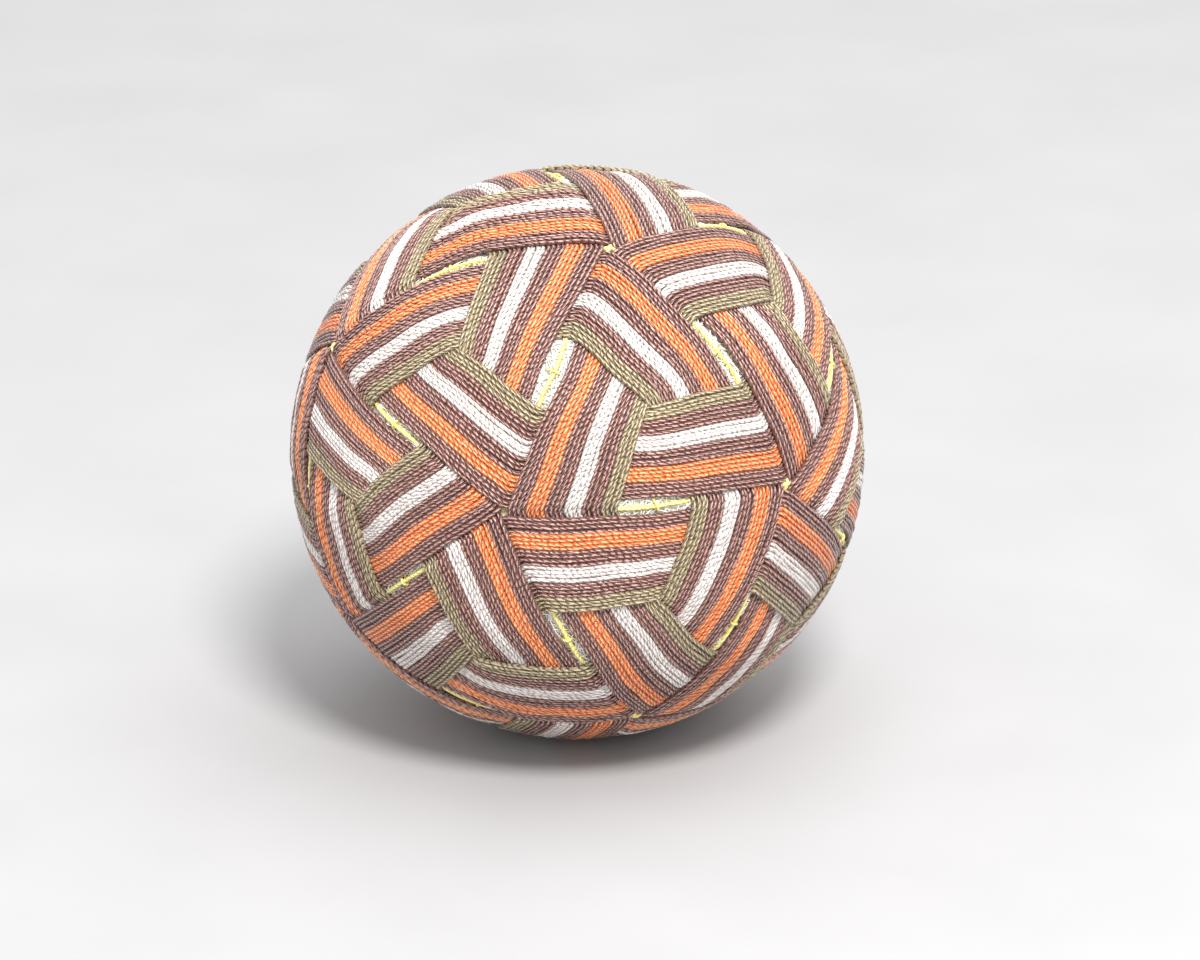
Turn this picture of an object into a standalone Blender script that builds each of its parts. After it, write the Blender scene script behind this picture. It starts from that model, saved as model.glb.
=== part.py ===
"""A temari ball: a thread-wound ball with twelve embroidered five-sided bands woven over and under one another.

Everything is laid out on the twelve corners ("pins") of an icosahedron. Each pin has one closed band around it.
A band has five straight sides and turns a corner near each neighbouring pin. Beyond each corner it climbs over
the next band's corner, drops where three bands meet, and goes under a third band up to its own next corner.
Metres, +Z up, origin on the floor under the middle of the ball.
"""

import math

import bmesh
import bpy
from mathutils import Vector

# Driving dimensions, in metres.
BALL_RADIUS = 0.040
BAND_THICKNESS = 0.0010
LAYER_GAP = 0.00075
FLAT_RADIUS = 0.0090

# Where the band around a pin runs, as angles from that pin in degrees.
OUTER_CORNER = 62.10
OUTER_MIDDLE = 57.00
INNER_CORNER = 39.90
INNER_MIDDLE = 38.40
# Half the width of the strip along each line between neighbouring pins where a band changes layer.
STRIP_HALF_WIDTH = 1.27

# Facets: columns across a band, and stretches along its upper and lower parts.
COLUMNS = 4
STEPS_UPPER = 3
STEPS_LOWER = 3
MARI_SUBDIVISIONS = 3

# How the pins are turned: where the front pin faces, and which way its first neighbour lies from it.
FRONT_AZIMUTH = -13.5
FRONT_ELEVATION = 9.0
FRONT_BEARING = 10.5

# Hand-placed pins stray from the even lattice: degrees east and north, read by eye for the six pins that show.
PIN_COLUMNS = ("pin", "east", "north")
PIN_STRAYS = (
    ("front", -1, 0),
    ("front_1", 1, -4),
    ("front_2", -4, -2),
    ("front_3", -1, -1),
    ("front_4", 0, 5),
    ("front_5", 2, -1),
)
STRAY_REACH = 3.0

# Name, base colour, roughness.
MARI_FINISH = ("mari_thread", (0.86, 0.85, 0.81), 0.80)
BAND_FINISH = ("band_thread", (0.30, 0.17, 0.16), 0.55)

UP = Vector((0.0, 0.0, 1.0))
SIDES = 5
TURN = math.radians(360 / SIDES)
PIN_SPACING = math.atan(2.0)
NEIGHBOUR_REACH = 1.5 * PIN_SPACING
SHARP_EDGE = math.radians(40)

UPPER_TOP = BALL_RADIUS
LOWER_TOP = UPPER_TOP - BAND_THICKNESS - LAYER_GAP
MARI_RADIUS = LOWER_TOP - BAND_THICKNESS - LAYER_GAP
FLOOR_DEPTH = math.sqrt(BALL_RADIUS**2 - FLAT_RADIUS**2)


def clear_scene():
    for obj in list(bpy.data.objects):
        bpy.data.objects.remove(obj, do_unlink=True)


def thread_material(name, colour, roughness):
    material = bpy.data.materials.new(name)
    material.use_nodes = True
    shader = material.node_tree.nodes["Principled BSDF"]
    shader.inputs["Base Color"].default_value = (*colour, 1.0)
    shader.inputs["Roughness"].default_value = roughness
    shader.inputs["Metallic"].default_value = 0.0
    return material


def east_and_north(direction):
    east = UP.cross(direction).normalized()
    return east, direction.cross(east)


def along_arc(start, end, angle):
    """The point that lies this angle from start, on the great circle towards end."""
    sideways = (end - start * start.dot(end)).normalized()
    return start * math.cos(angle) + sideways * math.sin(angle)


def lattice():
    """The twelve even pin directions: front, its five neighbours clockwise, and their opposites."""
    azimuth = math.radians(FRONT_AZIMUTH)
    elevation = math.radians(FRONT_ELEVATION)
    front = Vector(
        (
            math.sin(azimuth) * math.cos(elevation),
            -math.cos(azimuth) * math.cos(elevation),
            math.sin(elevation),
        )
    )
    east, north = east_and_north(front)
    near = []
    for index in range(SIDES):
        bearing = math.radians(FRONT_BEARING) + index * TURN
        outward = north * math.cos(bearing) + east * math.sin(bearing)
        near.append(front * math.cos(PIN_SPACING) + outward * math.sin(PIN_SPACING))
    return [front, *near, *[-pin for pin in near], -front]


def strays(pins):
    """How each pin that strays pulls the pattern, as a vector at that pin."""
    pulls = []
    for pin, row in zip(pins, PIN_STRAYS):
        stray = dict(zip(PIN_COLUMNS, row))
        east, north = east_and_north(pin)
        pull = east * stray["east"] + north * stray["north"]
        pulls.append(pull * math.radians(1.0))
    return pulls


def clockwise_neighbours(pins, pin):
    """The five pins around this one, clockwise as seen from outside."""
    near = [other for other in pins if other != pin and other.angle(pin) < NEIGHBOUR_REACH]
    east, north = east_and_north(pin)
    return sorted(near, key=lambda other: math.atan2(other.dot(east), other.dot(north)))


def crossing(arc_start, arc_end, line_start, line_end):
    """Where the great circle through one pair of points crosses that through another, on the first pair's side."""
    point = arc_start.cross(arc_end).cross(line_start.cross(line_end)).normalized()
    return point if point.dot(arc_start) > 0 else -point


def band_row(centre, here, following, share):
    """One row of a band's side, at a share of its width: its corner, the side's middle, and the next corner."""
    corner_angle = math.radians(OUTER_CORNER + (INNER_CORNER - OUTER_CORNER) * share)
    middle_angle = math.radians(OUTER_MIDDLE + (INNER_MIDDLE - OUTER_MIDDLE) * share)
    return (
        along_arc(centre, here, corner_angle),
        along_arc(centre, (here + following).normalized(), middle_angle),
        along_arc(centre, following, corner_angle),
    )


def off_the_strip(corner, middle, centre):
    """Where a row that leaves its corner towards middle comes off the strip along the line to the centre."""
    towards_middle = (middle - corner * corner.dot(middle)).normalized()
    towards_centre = (centre - corner * corner.dot(centre)).normalized()
    lean = towards_middle.cross(towards_centre).length
    return along_arc(corner, middle, math.asin(math.sin(math.radians(STRIP_HALF_WIDTH)) / lean))


def between(first, last, steps):
    """Points spread evenly from first up to, but not including, last."""
    whole = first.angle(last)
    return [along_arc(first, last, whole * step / steps) for step in range(steps)]


def side_stations(centre, here, following, share):
    """A row's points along one side, each with its height: 0 on the lower layer, 1 on the upper one."""
    corner, middle, next_corner = band_row(centre, here, following, share)
    under = band_row(following, centre, here, 1.0)
    over = band_row(here, following, centre, 1.0)
    climbed = off_the_strip(corner, middle, centre)
    leaving = crossing(corner, middle, under[1], under[2])
    entering = crossing(next_corner, middle, over[0], over[1])
    diving = off_the_strip(next_corner, middle, centre)
    stations = [(corner, 0.5)]
    stations += [(point, 1.0) for point in between(climbed, leaving, STEPS_UPPER)]
    stations += [(leaving, 1.0), (middle, 0.5)]
    stations += [(point, 0.0) for point in between(entering, diving, STEPS_LOWER)]
    stations += [(diving, 0.0)]
    return stations


def pressed(direction, radius):
    """How far out a point lies, once the ball's underside is pressed flat. Every layer gives way alike."""
    if direction.z >= 0:
        return radius
    floor_distance = FLOOR_DEPTH / -direction.z
    return radius - max(0.0, BALL_RADIUS - floor_distance)


class Surface:
    """Turns an even direction and a radius into a place on the finished ball."""

    def __init__(self, pins):
        self.pins = pins
        self.strays = strays(pins)
        self.lift = Vector((0.0, 0.0, FLOOR_DEPTH))

    def place(self, direction, radius):
        moved = direction.copy()
        for pin, stray in zip(self.pins, self.strays):
            moved += stray * math.exp(STRAY_REACH * (direction.dot(pin) - 1.0))
        moved.normalize()
        return moved * pressed(moved, radius) + self.lift


def mesh_object(name, mesh, material):
    mesh.materials.append(material)
    mesh.shade_smooth()
    mesh.set_sharp_from_angle(angle=SHARP_EDGE)
    obj = bpy.data.objects.new(name, mesh)
    bpy.context.scene.collection.objects.link(obj)
    return obj


def make_band(name, centre, surface, material):
    """One closed band: a ring of cross-sections, each with its top row of corners and its bottom row."""
    corners = clockwise_neighbours(surface.pins, centre)
    shares = [column / (COLUMNS - 1) for column in range(COLUMNS)]
    bm = bmesh.new()
    sections = []
    for index, here in enumerate(corners):
        following = corners[(index + 1) % SIDES]
        rows = [side_stations(centre, here, following, share) for share in shares]
        for station in zip(*rows):
            tops = []
            bottoms = []
            for direction, height in station:
                top = LOWER_TOP + (UPPER_TOP - LOWER_TOP) * height
                tops.append(bm.verts.new(surface.place(direction, top)))
                bottoms.append(bm.verts.new(surface.place(direction, top - BAND_THICKNESS)))
            sections.append(tops + bottoms[::-1])
    for index, section in enumerate(sections):
        ahead = sections[(index + 1) % len(sections)]
        for edge in range(len(section)):
            beside = (edge + 1) % len(section)
            bm.faces.new((section[edge], ahead[edge], ahead[beside], section[beside]))
    bmesh.ops.triangulate(bm, faces=bm.faces[:])
    bmesh.ops.recalc_face_normals(bm, faces=bm.faces[:])
    mesh = bpy.data.meshes.new(name)
    bm.to_mesh(mesh)
    bm.free()
    return mesh_object(name, mesh, material)


def make_mari(name, surface, material):
    """The wound ball under the bands, pressed flat in the same place."""
    bm = bmesh.new()
    bmesh.ops.create_icosphere(bm, subdivisions=MARI_SUBDIVISIONS, radius=1.0)
    for vert in bm.verts:
        vert.co = surface.place(vert.co.normalized(), MARI_RADIUS)
    mesh = bpy.data.meshes.new(name)
    bm.to_mesh(mesh)
    bm.free()
    return mesh_object(name, mesh, material)


def stand_on_origin(objects):
    """Moves the ball so that the middle of its box stands on the origin."""
    points = [obj.matrix_world @ vert.co for obj in objects for vert in obj.data.vertices]
    low = Vector([min(point[axis] for point in points) for axis in range(3)])
    high = Vector([max(point[axis] for point in points) for axis in range(3)])
    ball = bpy.data.objects.new("temari_ball", None)
    bpy.context.scene.collection.objects.link(ball)
    ball.location = (-(low.x + high.x) / 2, -(low.y + high.y) / 2, 0.0)
    for obj in objects:
        obj.parent = ball


def main():
    clear_scene()
    pins = lattice()
    surface = Surface(pins)
    band_material = thread_material(*BAND_FINISH)
    objects = [make_mari("mari", surface, thread_material(*MARI_FINISH))]
    for number, pin in enumerate(pins, start=1):
        objects.append(make_band(f"band_{number:02d}", pin, surface, band_material))
    stand_on_origin(objects)


main()
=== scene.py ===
"""The looks of a temari ball: twelve woven bands stitched in rows of two-ply thread over a white wound mari.

Every row of a band is its own closed loop of thread. It follows the band's five sides in the CAD frame: up
over the next band's corner, down where three bands meet, and under a third band to its own next corner.
Metres and degrees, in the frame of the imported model.
"""

import math

import bmesh
import bpy
import numpy as np
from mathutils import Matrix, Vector


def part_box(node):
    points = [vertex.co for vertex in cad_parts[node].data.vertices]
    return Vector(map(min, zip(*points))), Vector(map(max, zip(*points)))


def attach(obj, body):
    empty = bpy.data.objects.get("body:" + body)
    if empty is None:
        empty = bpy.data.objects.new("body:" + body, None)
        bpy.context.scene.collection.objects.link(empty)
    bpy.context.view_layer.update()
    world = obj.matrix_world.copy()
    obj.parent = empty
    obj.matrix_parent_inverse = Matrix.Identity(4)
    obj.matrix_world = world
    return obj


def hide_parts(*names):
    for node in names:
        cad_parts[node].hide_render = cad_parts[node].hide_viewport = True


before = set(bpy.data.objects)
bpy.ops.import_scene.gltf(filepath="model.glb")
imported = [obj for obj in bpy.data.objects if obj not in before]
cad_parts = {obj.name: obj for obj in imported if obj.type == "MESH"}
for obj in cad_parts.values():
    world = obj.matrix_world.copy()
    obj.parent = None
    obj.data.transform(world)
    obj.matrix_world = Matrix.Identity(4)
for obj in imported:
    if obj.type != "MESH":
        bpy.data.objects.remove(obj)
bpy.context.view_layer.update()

# The ball, as in the CAD part.
BALL_RADIUS = 0.040
FLAT_RADIUS = 0.0090
FRONT_AZIMUTH = -13.5
FRONT_ELEVATION = 9.0
FRONT_BEARING = 10.5
SIDES = 5

# Hand-placed pins stray from the even lattice: degrees east and north, read off for the six pins
# that show.
PIN_COLUMNS = ("pin", "east", "north")
PIN_STRAYS = (
    ("front", -1, 0),
    ("front_1", 1, -4),
    ("front_2", -4, -2),
    ("front_3", -1, -1),
    ("front_4", 0, 5),
    ("front_5", 2, -1),
)
STRAY_REACH = 3.0

# How far a band's outer edge stands back at the middle of its side, in degrees: by the two pins that
# it lies between.
SLOT_OPENINGS = {
    ("front", "front_1"): 1.10,
    ("front_1", "front_2"): 0.60,
    ("front", "front_2"): 0.45,
    ("front", "front_3"): 0.50,
}
USUAL_OPENING = 0.08

# Edges of a band's rows, as angles from its pin in degrees.
OUTER_CORNER = 62.7
OUTER_MIDDLE = 57.0
INNER_CORNER = 39.9
INNER_MIDDLE = 37.6
# Half the width of the strip along each line between neighbouring pins where a row changes layer.
STRIP_HALF_WIDTH = 1.15

# Stripes from the outer edge inwards, each with the same number of rows. The rows can't be counted in
# the photo.
STRIPES = ("brown", "orange", "brown", "white", "brown", "olive")
ROWS_PER_STRIPE = 4
ROWS = len(STRIPES) * ROWS_PER_STRIPE
COLOURS = list(dict.fromkeys(STRIPES))

# Thread.
THREAD_RADIUS = 0.00034
LAYER_STEP = 0.00062
PLY_LENGTH = 0.00112
UPPER_CENTRE = BALL_RADIUS - THREAD_RADIUS
LOWER_CENTRE = UPPER_CENTRE - LAYER_STEP
MARI_SURFACE = LOWER_CENTRE - THREAD_RADIUS
THREAD_SIDES = 6

FLOOR_DEPTH = math.sqrt(BALL_RADIUS**2 - FLAT_RADIUS**2)
PIN_SPACING = math.atan(2.0)
NEIGHBOUR_REACH = 1.5 * PIN_SPACING
UP = np.array((0.0, 0.0, 1.0))
# The least that a direction is taken to point down, since the depth of the floor is divided by it.
BARELY_DOWN = 1e-6
mari_low, mari_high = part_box("mari")
BALL_CENTRE = np.array(
    ((mari_low[0] + mari_high[0]) / 2, (mari_low[1] + mari_high[1]) / 2, FLOOR_DEPTH)
)


# ---- Places on the ball ----


def unit(vectors):
    return vectors / np.linalg.norm(vectors, axis=-1, keepdims=True)


def angle_between(first, second):
    return math.acos(max(-1.0, min(1.0, float(np.dot(first, second)))))


def along_arc(start, end, angle):
    """The point that lies this angle from start, on the great circle towards end."""
    sideways = unit(end - start * np.dot(start, end))
    return start * math.cos(angle) + sideways * math.sin(angle)


def east_and_north(direction):
    east = unit(np.cross(UP, direction))
    return east, np.cross(direction, east)


def lattice():
    """The twelve even pin directions: front, its five neighbours clockwise, and their opposites."""
    azimuth = math.radians(FRONT_AZIMUTH)
    elevation = math.radians(FRONT_ELEVATION)
    front = np.array(
        (
            math.sin(azimuth) * math.cos(elevation),
            -math.cos(azimuth) * math.cos(elevation),
            math.sin(elevation),
        )
    )
    east, north = east_and_north(front)
    near = []
    for index in range(SIDES):
        bearing = math.radians(FRONT_BEARING + index * 360 / SIDES)
        outward = north * math.cos(bearing) + east * math.sin(bearing)
        near.append(front * math.cos(PIN_SPACING) + outward * math.sin(PIN_SPACING))
    return [front, *near, *[-pin for pin in near], -front]


def stray_pulls(pins):
    """How each pin that strays pulls the pattern, as a vector at that pin."""
    pulls = []
    for pin, row in zip(pins, PIN_STRAYS):
        stray = dict(zip(PIN_COLUMNS, row))
        east, north = east_and_north(pin)
        pull = east * stray["east"] + north * stray["north"]
        pulls.append(pull * math.radians(1.0))
    return pulls


PINS = lattice()
PULLS = stray_pulls(PINS)


def opening_between(here, following):
    """How far the bands' outer edges stand back from the line between two pins."""
    numbers = sorted(int(np.argmax(np.array(PINS) @ pin)) for pin in (here, following))
    if numbers[1] >= len(PIN_STRAYS):
        return USUAL_OPENING
    pair = tuple(PIN_STRAYS[number][0] for number in numbers)
    return SLOT_OPENINGS.get(pair, USUAL_OPENING)


def settle(directions):
    """Even directions moved to where the hand-placed pins pull them."""
    moved = directions.copy()
    for pin, pull in zip(PINS, PULLS):
        moved += np.exp(STRAY_REACH * (directions @ pin - 1.0))[..., None] * pull
    return unit(moved)


def place(directions, radii):
    """Points on the finished ball, with its underside pressed flat. Every layer gives way alike."""
    moved = settle(directions)
    downward = np.maximum(-moved[..., 2], BARELY_DOWN)
    pressed = np.maximum(0.0, BALL_RADIUS - FLOOR_DEPTH / downward)
    pressed = np.where(moved[..., 2] < 0, pressed, 0.0)
    return moved * (radii - pressed)[..., None] + BALL_CENTRE


def clockwise_neighbours(pin):
    """The five pins around this one, clockwise as seen from outside."""
    near = [other for other in PINS if other is not pin and angle_between(other, pin) < NEIGHBOUR_REACH]
    east, north = east_and_north(pin)
    return sorted(near, key=lambda other: math.atan2(other @ east, other @ north))


def crossing(arc_start, arc_end, line_start, line_end):
    """Where the great circle through one pair of points crosses another's, on the first pair's side."""
    point = unit(np.cross(np.cross(arc_start, arc_end), np.cross(line_start, line_end)))
    return point if point @ arc_start > 0 else -point


def band_row(centre, here, following, share, shift=(0.0, 0.0, 0.0)):
    """One row of a band's side, at a share of its width: a corner, the side's middle, the next corner."""
    corner = OUTER_CORNER + (INNER_CORNER - OUTER_CORNER) * share
    middle = OUTER_MIDDLE + (INNER_MIDDLE - OUTER_MIDDLE) * share
    return (
        along_arc(centre, here, math.radians(corner + shift[0])),
        along_arc(centre, unit(here + following), math.radians(middle + shift[1])),
        along_arc(centre, following, math.radians(corner + shift[2])),
    )


def off_the_strip(corner, middle, centre):
    """How far a row that leaves its corner towards middle goes before it is off the strip."""
    towards_middle = unit(middle - corner * (corner @ middle))
    towards_centre = unit(centre - corner * (corner @ centre))
    lean = np.linalg.norm(np.cross(towards_middle, towards_centre))
    return math.asin(math.sin(math.radians(STRIP_HALF_WIDTH)) / lean)


# ---- Thread ----


ROUNDING_SAMPLES = 7


class Knots:
    """A closed line of great-circle arcs, read at any distance along it, in radians of arc."""

    def __init__(self, points):
        self.points = np.array(points)
        ahead = np.roll(self.points, -1, axis=0)
        self.spans = np.arccos(np.clip((self.points * ahead).sum(axis=1), -1.0, 1.0))
        self.starts = np.concatenate(([0.0], np.cumsum(self.spans)[:-1]))
        self.length = float(self.spans.sum())

    def at(self, distances):
        wrapped = np.mod(distances, self.length)
        index = np.searchsorted(self.starts, wrapped, side="right") - 1
        ahead = (index + 1) % len(self.points)
        span = self.spans[index]
        done = wrapped - self.starts[index]
        near = np.sin(span - done) / np.sin(span)
        far = np.sin(done) / np.sin(span)
        return near[..., None] * self.points[index] + far[..., None] * self.points[ahead]

    def rounded(self, distances, reach):
        total = 0.0
        for offset in np.linspace(-reach, reach, ROUNDING_SAMPLES):
            total = total + self.at(distances + offset)
        return unit(total)


# How far apart a row's points lie near a corner, where the row shows, and where it runs under a band.
CORNER_STEP = 0.00036 / BALL_RADIUS
SHOWN_STEP = 0.00080 / BALL_RADIUS
HIDDEN_STEP = 0.0028 / BALL_RADIUS
# How far the corner's points go, and how far under a band a row still counts as shown.
CORNER_REACH = 0.0011 / BALL_RADIUS
TUCKED_REACH = 0.0010 / BALL_RADIUS
# How far to each side of a point its bends and its changes of layer are smoothed.
BEND_REACH = 0.00062 / BALL_RADIUS
HEIGHT_REACH = 0.00045 / BALL_RADIUS
HEIGHT_SAMPLES = 5
# How unevenly the rows are stitched: at corners and at middles of sides, in degrees.
CORNER_JITTER = 0.08
MIDDLE_JITTER = 0.05


def spread(first, last, step):
    """Distances from first up to, but not including, last, no more than a step apart."""
    count = max(1, math.ceil((last - first) / step))
    return np.linspace(first, last, count, endpoint=False)


def row_line(centre, ring, share, rng):
    """A row's closed line, the distances to sample, and its height at each: 0 lower, 1 upper."""
    innermost = 1.0 - 0.5 / ROWS
    corner_shift = rng.normal(0.0, CORNER_JITTER, SIDES)
    middle_shift = rng.normal(0.0, MIDDLE_JITTER, SIDES)
    knots = []
    marks = []
    for index, here in enumerate(ring):
        following = ring[(index + 1) % SIDES]
        stand_back = opening_between(here, following) * (1.0 - share)
        middle_move = middle_shift[index] - stand_back
        shift = (corner_shift[index], middle_move, corner_shift[(index + 1) % SIDES])
        corner, middle, next_corner = band_row(centre, here, following, share, shift)
        knots += [corner, middle]
        under = band_row(following, centre, here, innermost)
        over = band_row(here, following, centre, innermost)
        leaving = crossing(corner, middle, under[1], under[2])
        entering = crossing(next_corner, middle, over[0], over[1])
        first = angle_between(corner, middle)
        second = angle_between(middle, next_corner)
        marks.append(
            (
                off_the_strip(corner, middle, centre),
                angle_between(corner, leaving),
                first + second - angle_between(next_corner, entering),
                first + second - off_the_strip(next_corner, middle, centre),
                first + second,
            )
        )
    line = Knots(knots)
    samples = []
    height_at = []
    height = []
    start = 0.0
    for climbed, leaving, entering, diving, whole in marks:
        tucked = min(entering + TUCKED_REACH, whole - 2 * CORNER_REACH)
        samples.append(spread(start, start + CORNER_REACH, CORNER_STEP))
        samples.append(spread(start + CORNER_REACH, start + tucked, SHOWN_STEP))
        samples.append(spread(start + tucked, start + whole - CORNER_REACH, HIDDEN_STEP))
        samples.append(spread(start + whole - CORNER_REACH, start + whole, CORNER_STEP))
        height_at += [start + climbed, start + leaving, start + entering, start + diving]
        height += [1.0, 1.0, 0.0, 0.0]
        start += whole
    samples = np.concatenate(samples)
    heights = 0.0
    offsets = np.linspace(-HEIGHT_REACH, HEIGHT_REACH, HEIGHT_SAMPLES)
    for offset in offsets:
        heights = heights + np.interp(samples + offset, height_at, height, period=line.length)
    return line, samples, heights / len(offsets)


WAVES = 4


def draw_waves(rng, lowest, highest):
    """Random waves: how often each comes along a closed row, and where it starts."""
    return [(rng.integers(lowest, highest), rng.uniform(0, 2 * math.pi)) for _ in range(WAVES)]


def wander(distances, length, waves, size):
    """A small smooth closed wander along a row."""
    total = np.zeros_like(distances)
    for turns, start in waves:
        total += np.sin(2 * math.pi * turns * distances / length + start)
    return total * size / math.sqrt(WAVES)


def tube(points, outward, radius, sides):
    """Rings of points around a closed line, one ring for each point."""
    ahead = np.roll(points, -1, axis=0)
    behind = np.roll(points, 1, axis=0)
    return ring_points(points, unit(ahead - behind), outward, radius, sides)


def ring_points(points, along, outward, radius, sides):
    aside = unit(np.cross(along, outward))
    above = np.cross(aside, along)
    turns = np.arange(sides) * 2 * math.pi / sides
    radius = np.broadcast_to(radius, (len(points),))[:, None, None]
    upward = above[:, None] * np.cos(turns)[None, :, None]
    sideways = aside[:, None] * np.sin(turns)[None, :, None]
    return points[:, None] + (upward + sideways) * radius


def quads_around(rings, sides, closed):
    """The faces of a tube as corner numbers, with each face's ring and side."""
    count = rings if closed else rings - 1
    ring = np.repeat(np.arange(count), sides)
    side = np.tile(np.arange(sides), count)
    ahead = (ring + 1) % rings
    beside = (side + 1) % sides
    faces = np.stack(
        (ring * sides + side, ring * sides + beside, ahead * sides + beside, ahead * sides + side), axis=1
    )
    return faces, ring, side


CORNERS = 4


def mesh_from(name, points, faces, materials, face_material=None):
    """A smooth mesh of four-cornered faces."""
    mesh = bpy.data.meshes.new(name)
    mesh.vertices.add(len(points))
    mesh.vertices.foreach_set("co", np.asarray(points, np.float32).ravel())
    mesh.loops.add(faces.size)
    mesh.loops.foreach_set("vertex_index", faces.astype(np.int32).ravel())
    mesh.polygons.add(len(faces))
    mesh.polygons.foreach_set("loop_start", np.arange(len(faces), dtype=np.int32) * CORNERS)
    for material in materials:
        mesh.materials.append(material)
    if face_material is not None:
        mesh.polygons.foreach_set("material_index", face_material.astype(np.int32))
    mesh.update(calc_edges=True)
    mesh.shade_smooth()
    return mesh


def uv_map(mesh, name, values):
    layer = mesh.uv_layers.new(name=name)
    layer.data.foreach_set("uv", np.asarray(values, np.float32).ravel())


def add_object(name, mesh):
    obj = bpy.data.objects.new(name, mesh)
    bpy.context.scene.collection.objects.link(obj)
    return obj


def above_floor(points):
    """Thread that would go through the floor is pressed up against it."""
    points[:, 2] = np.maximum(points[:, 2], 0.0)
    return points


# ---- Bands ----


def stripe_rows():
    """Each row's share of the band's width, and the number of its thread colour."""
    rows = []
    for row in range(ROWS):
        rows.append(((row + 0.5) / ROWS, COLOURS.index(STRIPES[row // ROWS_PER_STRIPE])))
    return rows


# How a band wanders as a whole, each of its rows, and each row's height: how many waves there are
# round it, from and up to, and their size.
BAND_WAVES = (3, 16)
BAND_WANDER = 0.00013 / BALL_RADIUS
ROW_WAVES = (4, 34)
ROW_WANDER = 0.00003 / BALL_RADIUS
HEIGHT_WAVES = (5, 40)
HEIGHT_WANDER = 0.00005
HEIGHT_JITTER = 0.00003
THICKNESS_JITTER = 0.02

# How the rows are laid out in the OFBake UV map: lanes for each row, how much longer than the outermost row
# a row can be, the margin before a lane and its share of the map's width, and the same for its height.
LANES_PER_ROW = 2
LANE_SLACK = 1.02
LANE_START = 0.01
LANE_LENGTH = 0.97
LANE_FOOT = 0.05
LANE_HEIGHT = 0.9


def make_band(name, centre, materials, rng):
    """One band, its rows as separate closed threads in one mesh."""
    ring = clockwise_neighbours(centre)
    points = []
    faces = []
    twist_uv = []
    bake_uv = []
    face_material = []
    used = 0
    longest = None
    band_waves = draw_waves(rng, *BAND_WAVES)
    for row, (share, colour) in enumerate(stripe_rows()):
        line, samples, heights = row_line(centre, ring, share, rng)
        longest = longest or line.length * LANE_SLACK
        directions = line.rounded(samples, BEND_REACH)
        inward = unit(centre - directions * (directions @ centre)[:, None])
        sideways = wander(samples, line.length, band_waves, BAND_WANDER)
        row_waves = draw_waves(rng, *ROW_WAVES)
        sideways = sideways + wander(samples, line.length, row_waves, ROW_WANDER)
        directions = unit(directions + inward * sideways[:, None])
        radii = LOWER_CENTRE + (UPPER_CENTRE - LOWER_CENTRE) * heights
        height_waves = draw_waves(rng, *HEIGHT_WAVES)
        radii = radii + wander(samples, line.length, height_waves, HEIGHT_WANDER)
        radii = radii + rng.normal(0.0, HEIGHT_JITTER)
        centres = place(directions, radii)
        thick = THREAD_RADIUS * (1.0 + rng.normal(0.0, THICKNESS_JITTER))
        rings = tube(centres, unit(centres - BALL_CENTRE), thick, THREAD_SIDES)
        points.append(rings.reshape(-1, 3))
        quads, at, side = quads_around(len(samples), THREAD_SIDES, True)
        faces.append(quads + used)
        used += len(rings) * THREAD_SIDES
        ends = np.append(samples, line.length)
        near, far = ends[at], ends[at + 1]
        around = np.stack((side, side + 1, side + 1, side), axis=1) / THREAD_SIDES
        along = np.stack((near, near, far, far), axis=1)
        plies = round(line.length * BALL_RADIUS / PLY_LENGTH)
        twist_uv.append(np.stack((along / line.length * plies, around + row), axis=-1))
        lane = row * LANES_PER_ROW + ((near + far) / 2 * LANES_PER_ROW // line.length)
        lane_start = (lane % LANES_PER_ROW) * line.length / LANES_PER_ROW
        across = (along - lane_start[:, None]) * LANES_PER_ROW / longest * LANE_LENGTH + LANE_START
        up = (lane[:, None] + LANE_FOOT + LANE_HEIGHT * around) / (ROWS * LANES_PER_ROW)
        bake_uv.append(np.stack((across, up), axis=-1))
        face_material.append(np.full(len(quads), colour))
    placed = above_floor(np.concatenate(points))
    mesh = mesh_from(name, placed, np.concatenate(faces), materials, np.concatenate(face_material))
    uv_map(mesh, "OFBake", np.concatenate(bake_uv))
    uv_map(mesh, "thread", np.concatenate(twist_uv))
    return add_object(name, mesh)


# ---- Mari and guide threads ----


MARI_SUBDIVISIONS = 5
# How far the mari's surface lies below the lowest rows.
MARI_INSET = 0.00008


def make_mari(material):
    bm = bmesh.new()
    bmesh.ops.create_icosphere(bm, subdivisions=MARI_SUBDIVISIONS, radius=1.0)
    mesh = bpy.data.meshes.new("mari_winding")
    bm.to_mesh(mesh)
    bm.free()
    points = np.empty(len(mesh.vertices) * 3)
    mesh.vertices.foreach_get("co", points)
    directions = unit(points.reshape(-1, 3))
    placed = above_floor(place(directions, np.full(len(directions), MARI_SURFACE - MARI_INSET)))
    mesh.vertices.foreach_set("co", placed.astype(np.float32).ravel())
    mesh.update()
    mesh.shade_smooth()
    mesh.materials.append(material)
    return add_object("mari_winding", mesh)


def pin_pairs():
    """Every pair of neighbouring pins, each once."""
    pairs = []
    for index, pin in enumerate(PINS):
        for other in PINS[index + 1 :]:
            if angle_between(pin, other) < NEIGHBOUR_REACH:
                pairs.append((pin, other))
    return pairs


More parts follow.
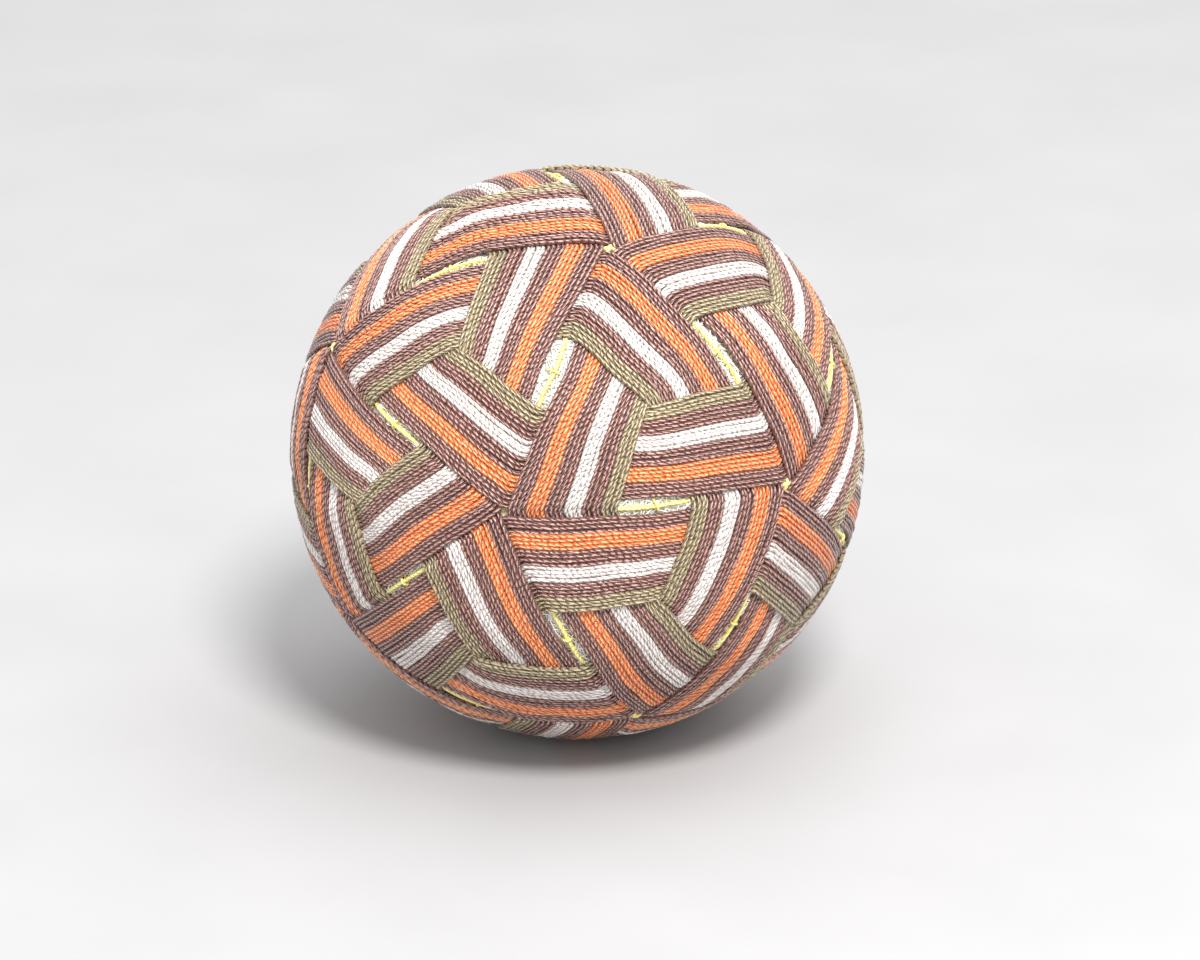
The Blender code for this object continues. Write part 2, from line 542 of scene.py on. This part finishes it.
class Strands:
    """Open threads gathered into one mesh, each a tube with an even number of sides and closed ends."""

    def __init__(self, sides):
        self.sides = sides
        self.points = []
        self.faces = []
        self.uvs = []
        self.used = 0
        self.count = 0

    def add(self, directions, radii, radius, ply_length):
        centres = place(directions, radii)
        along = np.gradient(centres, axis=0)
        rings = ring_points(centres, unit(along), unit(centres - BALL_CENTRE), radius, self.sides)
        steps = np.linalg.norm(np.diff(centres, axis=0), axis=1)
        distance = np.concatenate(([0.0], np.cumsum(steps))) / ply_length
        quads, at, side = quads_around(len(centres), self.sides, False)
        near, far = distance[at], distance[at + 1]
        around = np.stack((side, side + 1, side + 1, side), axis=1) / self.sides
        lengthwise = np.stack((near, near, far, far), axis=1)
        self.uvs.append(np.stack((lengthwise, around + self.count), axis=-1))
        self.faces.append(quads + self.used)
        last = self.used + (len(centres) - 1) * self.sides
        for corner in range(1, self.sides - 1, 2):
            front = [self.used, self.used + corner + 2, self.used + corner + 1, self.used + corner]
            back = [last, last + corner, last + corner + 1, last + corner + 2]
            self.faces.append(np.array([front, back]))
            self.uvs.append(np.full((2, CORNERS, 2), 0.5 + self.count))
        self.points.append(rings.reshape(-1, 3))
        self.used += len(centres) * self.sides
        self.count += 1

    def finish(self, name, material):
        placed = above_floor(np.concatenate(self.points))
        mesh = mesh_from(name, placed, np.concatenate(self.faces), [material])
        uv_map(mesh, "thread", np.concatenate(self.uvs))
        return add_object(name, mesh)


def arc(start, end, first, last, count):
    """Directions along the great circle from start towards end, between two angles."""
    angles = np.linspace(first, last, count)
    sideways = unit(end - start * (start @ end))
    return np.cos(angles)[:, None] * start + np.sin(angles)[:, None] * sideways


def towards_ends(count):
    """Numbers along a stitch, 0 at its middle and 1 at its ends."""
    return np.linspace(-1, 1, count) ** 2


# Guide thread: it lies on the mari in the slots, and sinks into it under the bands.
GUIDE_SIDES = 6
GUIDE_POINTS = 61
GUIDE_RADIUS = 0.00036
GUIDE_PLY = 0.0009
GUIDE_LIFT = 0.00042
GUIDE_SUNK = 0.00035
GUIDE_WAVES = (1, 5)
GUIDE_WANDER = 0.004
# Half the length that is raised, in radians, and how sharply it comes up.
RAISED_REACH = 0.150
RAISED_POWER = 6
# Tacks: half their length, how it varies, how they slant, and their height and arch in guide radii.
TACK_REACH = 0.00105 / BALL_RADIUS
TACK_LENGTHS = (0.8, 1.1)
TACK_SLANT = 0.12
TACK_POINTS = 11
TACK_HEIGHT = 1.15
TACK_ARCH = 1.9
TACK_THINNESS = 0.55
TACK_PLY = 0.0007
# Pins where a stitch of guide thread shows in the small hole between the bands.
SHOWN_PINS = ("front_1", "front_2", "front_3", "front_5")
SHOWN_STITCHES = 2
SHOWN_POINTS = 9
SHOWN_LIFT = 0.00085
SHOWN_ARCH = 0.0006


def make_guides(material, rng):
    """The guide threads between neighbouring pins, each tacked down by a cross stitch at its middle."""
    strands = Strands(GUIDE_SIDES)
    for pin, other in pin_pairs():
        spacing = angle_between(pin, other)
        angles = np.linspace(0.0, spacing, GUIDE_POINTS)
        sideways = wander(angles, spacing, draw_waves(rng, *GUIDE_WAVES), GUIDE_WANDER)
        line = arc(pin, other, 0.0, spacing, GUIDE_POINTS)
        line = unit(line + unit(np.cross(pin, other)) * sideways[:, None])
        raised = np.exp(-(((angles - spacing / 2) / RAISED_REACH) ** RAISED_POWER))
        lift = MARI_SURFACE - GUIDE_SUNK + (GUIDE_LIFT + GUIDE_SUNK) * raised
        strands.add(line, lift, GUIDE_RADIUS, GUIDE_PLY)
        middle = unit(pin + other)
        aside = unit(np.cross(pin, other) + (other - pin) * rng.normal(0.0, TACK_SLANT))
        reach = TACK_REACH * rng.uniform(*TACK_LENGTHS)
        arch = TACK_HEIGHT - TACK_ARCH * towards_ends(TACK_POINTS)
        lift = MARI_SURFACE + GUIDE_LIFT + GUIDE_RADIUS * arch
        line = arc(middle, aside, -reach, reach, TACK_POINTS)
        strands.add(line, lift, GUIDE_RADIUS * TACK_THINNESS, TACK_PLY)
    for pin, row in zip(PINS, PIN_STRAYS):
        if row[0] in SHOWN_PINS:
            for other in clockwise_neighbours(pin)[:SHOWN_STITCHES]:
                lift = MARI_SURFACE + SHOWN_LIFT - SHOWN_ARCH * towards_ends(SHOWN_POINTS)
                line = arc(pin, other, -TACK_REACH, TACK_REACH, SHOWN_POINTS)
                strands.add(line, lift, GUIDE_RADIUS, GUIDE_PLY)
    return strands.finish("guide_threads", material)


# Wrapping thread: short lengths in each slot, how far along and across it they start, in radians, and how
# high they lie on the mari.
WRAPPING_SIDES = 4
WRAPPING_LENGTHS = 64
WRAPPING_POINTS = 8
WRAPPING_RADIUS = 0.00011
WRAPPING_PLY = 0.0004
WRAPPING_REACH = 0.0034 / BALL_RADIUS
WRAPPING_ARCH = 0.0006
WRAPPING_LIFTS = (0.00002, 0.00042)
SLOT_ALONG = 0.15
SLOT_ACROSS = 0.035


def make_wrapping(material, rng):
    """Fine sewing thread in short lengths laid at random in the slots between the bands, raised a little
    above the mari.
    """
    strands = Strands(WRAPPING_SIDES)
    for pin, other in pin_pairs():
        middle = unit(pin + other)
        along = unit(np.cross(np.cross(pin, other), middle))
        aside = unit(np.cross(pin, other))
        for _ in range(WRAPPING_LENGTHS):
            start = middle + along * rng.uniform(-SLOT_ALONG, SLOT_ALONG)
            start = unit(start + aside * rng.uniform(-SLOT_ACROSS, SLOT_ACROSS))
            bearing = rng.uniform(0, math.pi)
            heading = unit(along * math.cos(bearing) + aside * math.sin(bearing))
            line = arc(start, heading, -WRAPPING_REACH, WRAPPING_REACH, WRAPPING_POINTS)
            lift = MARI_SURFACE + rng.uniform(*WRAPPING_LIFTS)
            lift = lift - WRAPPING_ARCH * towards_ends(WRAPPING_POINTS)
            strands.add(line, lift, WRAPPING_RADIUS, WRAPPING_PLY)
    return strands.finish("mari_wrapping", material)


# ---- Materials ----


def srgb(red, green, blue):
    """A colour in 8-bit sRGB as the linear one that shaders take."""
    channels = []
    for value in (red, green, blue):
        value = value / 255
        channels.append(value / 12.92 if value <= 0.04045 else ((value + 0.055) / 1.055) ** 2.4)
    return (*channels, 1.0)


class Nodes:
    """A short way to write a material's node tree."""

    def __init__(self, name):
        self.material = bpy.data.materials.new(name)
        self.material.use_nodes = True
        self.tree = self.material.node_tree
        self.shader = self.tree.nodes["Principled BSDF"]

    def add(self, kind, **settings):
        node = self.tree.nodes.new(kind)
        for key, value in settings.items():
            setattr(node, key, value)
        return node

    def link(self, source, target):
        self.tree.links.new(source, target)

    def math(self, operation, *values):
        node = self.add("ShaderNodeMath", operation=operation)
        for socket, value in zip(node.inputs, values):
            if isinstance(value, (int, float)):
                socket.default_value = value
            else:
                self.link(value, socket)
        return node.outputs[0]

    def mix(self, share, first, second):
        node = self.add("ShaderNodeMix", data_type="RGBA")
        for socket, value in ((node.inputs[0], share), (node.inputs[6], first), (node.inputs[7], second)):
            if isinstance(value, (int, float, tuple)):
                socket.default_value = value
            else:
                self.link(value, socket)
        return node.outputs[2]

    def spread(self, value, low, high, to_low=0.0, to_high=1.0):
        node = self.add("ShaderNodeMapRange")
        for socket, number in zip(node.inputs[1:5], (low, high, to_low, to_high)):
            socket.default_value = number
        self.link(value, node.inputs[0])
        return node.outputs[0]

    def noise(self, vector, scale, detail=2.0, roughness=0.5):
        node = self.add("ShaderNodeTexNoise")
        node.inputs["Scale"].default_value = scale
        node.inputs["Detail"].default_value = detail
        node.inputs["Roughness"].default_value = roughness
        self.link(vector, node.inputs["Vector"])
        return node.outputs[0]

    def scaled(self, vector, x, y):
        node = self.add("ShaderNodeMapping")
        node.inputs["Scale"].default_value = (x, y, 1.0)
        self.link(vector, node.inputs["Vector"])
        return node.outputs[0]


# Colours of each thread in 8-bit sRGB: painted shade in the hollows between its plies, its body, and a
# painted highlight on their crests; then its roughness and the depth of its twist.
THREAD_LOOKS = {
    "brown": ((52, 24, 20), (122, 77, 68), (218, 170, 157), 0.24, 0.00030),
    "orange": ((182, 72, 32), (251, 128, 66), (255, 204, 138), 0.27, 0.00030),
    "white": ((194, 173, 165), (246, 234, 228), (255, 252, 247), 0.34, 0.00030),
    "olive": ((70, 56, 38), (150, 131, 99), (224, 206, 166), 0.26, 0.00030),
    "wrapping": ((238, 233, 224), (252, 249, 242), (255, 254, 249), 0.60, 0.00004),
    "guide": ((216, 178, 78), (253, 234, 128), (255, 250, 200), 0.35, 0.00010),
}
# How far plies drift along their thread, in ply lengths, and how fast the drift changes.
PLY_DRIFT = 3.0
DRIFT_SCALE = 0.35
# How far a ply's grain slants at its ends, in ply lengths, and leans along it, in thread radii.
GRAIN_SLANT = 0.38
GRAIN_LEAN = 0.55
# How fast the painted highlight on a ply's grain fades towards its sides, and how deep the hollows at its
# sides and ends are.
GRAIN_FADE = 2.6
SIDE_DEPTH = 0.45
END_DEPTH = 0.80
# Fibres: how many to a ply length and how many round it, and how much they add to height, to the painted
# shade in the hollows and to the painted highlight on the crests.
FIBRES_ALONG = 1.1
FIBRES_AROUND = 18.0
FIBRE_HEIGHT = 0.35
FIBRE_SHADE = 0.7
FIBRE_SHINE = 1.6
# Where the painted shade in the hollows starts and ends, and where the painted highlight on the crests does.
PAINTED_SHADE_DEPTHS = (0.60, 1.05)
PAINTED_HIGHLIGHT_SHINES = (0.42, 0.95)


def thread_material(kind):
    """Twisted thread: each ply comes up as a grain that leans a little, with a painted highlight on it and
    painted shade in the hollows round it.
    """
    painted_shade, body, painted_highlight, roughness, twist_depth = THREAD_LOOKS[kind]
    nodes = Nodes(f"{kind}_thread")
    uv = nodes.add("ShaderNodeUVMap", uv_map="thread").outputs[0]
    split = nodes.add("ShaderNodeSeparateXYZ")
    nodes.link(uv, split.inputs[0])
    along, around = split.outputs[0], split.outputs[1]
    loose = nodes.noise(nodes.scaled(uv, DRIFT_SCALE, 1.0), 1.0)
    across = nodes.math("SINE", nodes.math("MULTIPLY", around, 2 * math.pi))
    phase = nodes.math("ADD", along, nodes.math("MULTIPLY", loose, PLY_DRIFT))
    phase = nodes.math("SUBTRACT", phase, nodes.math("MULTIPLY", across, GRAIN_SLANT))
    part = nodes.math("SUBTRACT", nodes.math("FRACT", phase), 0.5)
    aside = nodes.math("SUBTRACT", across, nodes.math("MULTIPLY", part, GRAIN_LEAN))
    wide = nodes.math("POWER", nodes.math("ABSOLUTE", aside), 2.0)
    long = nodes.math("POWER", nodes.math("ABSOLUTE", nodes.math("MULTIPLY", part, 2.0)), 3.0)
    side_pit = nodes.math("MULTIPLY", wide, SIDE_DEPTH)
    pit = nodes.math("ADD", side_pit, nodes.math("MULTIPLY", long, END_DEPTH))
    fade = nodes.math("ADD", nodes.math("MULTIPLY", wide, GRAIN_FADE), long)
    grain = nodes.math("SUBTRACT", 1.0, fade)
    lengthwise = nodes.add("ShaderNodeCombineXYZ")
    nodes.link(nodes.math("MULTIPLY", along, FIBRES_ALONG), lengthwise.inputs[0])
    nodes.link(nodes.math("MULTIPLY", around, FIBRES_AROUND), lengthwise.inputs[1])
    fibre = nodes.noise(lengthwise.outputs[0], 1.0, 2.0, 0.6)
    height = nodes.math("SUBTRACT", nodes.math("MULTIPLY", fibre, FIBRE_HEIGHT), pit)
    bump = nodes.add("ShaderNodeBump")
    bump.inputs["Strength"].default_value = 1.0
    bump.inputs["Distance"].default_value = twist_depth
    nodes.link(height, bump.inputs["Height"])
    nodes.link(bump.outputs[0], nodes.shader.inputs["Normal"])
    uneven = nodes.math("SUBTRACT", fibre, 0.5)
    shade_depth = nodes.math("SUBTRACT", pit, nodes.math("MULTIPLY", uneven, FIBRE_SHADE))
    shine = nodes.math("ADD", grain, nodes.math("MULTIPLY", uneven, FIBRE_SHINE))
    # Painted shade: the body colour darkens towards the shade colour in the hollows between plies and
    # fibres.
    dark = nodes.mix(nodes.spread(shade_depth, *PAINTED_SHADE_DEPTHS), srgb(*body), srgb(*painted_shade))
    # Painted highlight: the colour lightens towards the highlight colour on each ply's crest.
    lit = nodes.mix(nodes.spread(shine, *PAINTED_HIGHLIGHT_SHINES), dark, srgb(*painted_highlight))
    nodes.link(lit, nodes.shader.inputs["Base Color"])
    rough = nodes.spread(fibre, 0.2, 0.8, roughness - 0.06, roughness + 0.10)
    nodes.link(rough, nodes.shader.inputs["Roughness"])
    nodes.shader.inputs["Sheen Weight"].default_value = 0.15
    nodes.shader.inputs["Sheen Roughness"].default_value = 0.35
    nodes.shader.inputs["Specular IOR Level"].default_value = 1.0
    return nodes.material


# The mari: its colour in 8-bit sRGB, and the scales of its strands and of its thicker and thinner patches.
WOOL_COLOUR = (254, 252, 246)
WOOL_SHADOW = (232, 228, 220)
STRAND_SCALE = 1400.0
PATCH_SCALE = 260.0
WOOL_TONES = (0.12, 0.34)


def wool_material():
    """The mari's surface: layers of fine white thread with a fuzz."""
    nodes = Nodes("mari_wool")
    where = nodes.add("ShaderNodeTexCoord").outputs["Object"]
    strands = nodes.noise(where, STRAND_SCALE, 4.0, 0.7)
    patches = nodes.noise(where, PATCH_SCALE)
    bump = nodes.add("ShaderNodeBump")
    bump.inputs["Strength"].default_value = 0.8
    bump.inputs["Distance"].default_value = 0.0002
    nodes.link(strands, bump.inputs["Height"])
    nodes.link(bump.outputs[0], nodes.shader.inputs["Normal"])
    tone = nodes.spread(nodes.math("MULTIPLY", strands, patches), *WOOL_TONES)
    colour = nodes.mix(tone, srgb(*WOOL_SHADOW), srgb(*WOOL_COLOUR))
    nodes.link(colour, nodes.shader.inputs["Base Color"])
    nodes.shader.inputs["Roughness"].default_value = 0.9
    nodes.shader.inputs["Sheen Weight"].default_value = 0.5
    return nodes.material


FLOOR_COLOURS = ((177, 177, 178), (181, 181, 182))
FLOOR_SCALE = 30.0
FLOOR_TONES = (0.3, 0.7)


def floor_material():
    """A plain pale floor, very faintly uneven."""
    nodes = Nodes("pale_floor")
    where = nodes.add("ShaderNodeTexCoord").outputs["Object"]
    tone = nodes.spread(nodes.noise(where, FLOOR_SCALE), *FLOOR_TONES)
    darker, lighter = FLOOR_COLOURS
    nodes.link(nodes.mix(tone, srgb(*darker), srgb(*lighter)), nodes.shader.inputs["Base Color"])
    nodes.shader.inputs["Roughness"].default_value = 0.85
    nodes.shader.inputs["Specular IOR Level"].default_value = 0.2
    return nodes.material


# ---- Stage ----


CAMERA_ELEVATION = 21.0
CAMERA_DISTANCE = 25.8 * BALL_RADIUS
LENS = 222.0
SENSOR_WIDTH = 36.0
# The ball sits a little left of and above the middle of the picture.
AIM_RIGHT = 0.00314
AIM_DOWN = 0.00390
FLOOR_RADIUS = 3.0
FLOOR_SIDES = 96
# Lights: name, place, size across, power in watts and colour.
LIGHTS = (
    ("overhead", (0.24, 0.10, 1.08), 1.30, 6.2, (1.0, 1.0, 1.0)),
    ("front", (0.17, -0.64, 0.92), 0.30, 12.8, (1.0, 0.98, 0.955)),
)
SURROUNDINGS_COLOUR = (0.985, 0.985, 1.0, 1.0)
SURROUNDINGS_STRENGTH = 0.90


def make_camera():
    elevation = math.radians(CAMERA_ELEVATION)
    back = Vector((0.0, -math.cos(elevation), math.sin(elevation)))
    picture_up = Vector((0.0, math.sin(elevation), math.cos(elevation)))
    centre = Vector(BALL_CENTRE)
    aim = centre + Vector((AIM_RIGHT, 0.0, 0.0)) - picture_up * AIM_DOWN
    data = bpy.data.cameras.new("camera")
    data.lens = LENS
    data.sensor_width = SENSOR_WIDTH
    data.clip_start = 0.05
    data.clip_end = 20.0
    camera = bpy.data.objects.new("camera", data)
    camera.location = centre + back * CAMERA_DISTANCE
    camera.rotation_mode = "QUATERNION"
    camera.rotation_quaternion = (aim - camera.location).to_track_quat("-Z", "Y")
    bpy.context.scene.collection.objects.link(camera)
    bpy.context.scene.camera = camera


def make_floor(material):
    bm = bmesh.new()
    bmesh.ops.create_circle(bm, cap_ends=True, segments=FLOOR_SIDES, radius=FLOOR_RADIUS)
    mesh = bpy.data.meshes.new("floor")
    bm.to_mesh(mesh)
    bm.free()
    mesh.materials.append(material)
    add_object("floor", mesh)


def area_light(name, location, size, power, colour):
    data = bpy.data.lights.new(name, "AREA")
    data.shape = "DISK"
    data.size = size
    data.energy = power
    data.color = colour
    light = bpy.data.objects.new(name, data)
    light.location = location
    light.rotation_mode = "QUATERNION"
    light.rotation_quaternion = (Vector(BALL_CENTRE) - Vector(location)).to_track_quat("-Z", "Y")
    bpy.context.scene.collection.objects.link(light)


def make_lights():
    world = bpy.data.worlds.new("studio")
    world.use_nodes = True
    background = world.node_tree.nodes["Background"]
    background.inputs["Color"].default_value = SURROUNDINGS_COLOUR
    background.inputs["Strength"].default_value = SURROUNDINGS_STRENGTH
    bpy.context.scene.world = world
    for light in LIGHTS:
        area_light(*light)


# Starts of the random draws. Each band's is its number.
WRAPPING_SEED = 40
GUIDE_SEED = 50


def main():
    bpy.context.scene.view_settings.view_transform = "Standard"
    make_floor(floor_material())
    make_camera()
    make_lights()
    threads = [thread_material(colour) for colour in COLOURS]
    for number, pin in enumerate(PINS, start=1):
        node = f"band_{number:02d}"
        band = make_band(f"{node}_threads", pin, threads, np.random.default_rng(number))
        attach(band, "root")
        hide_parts(node)
    mari = make_mari(wool_material())
    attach(mari, "root")
    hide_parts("mari")
    wrapping = make_wrapping(thread_material("wrapping"), np.random.default_rng(WRAPPING_SEED))
    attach(wrapping, "root")
    guides = make_guides(thread_material("guide"), np.random.default_rng(GUIDE_SEED))
    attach(guides, "root")


main()
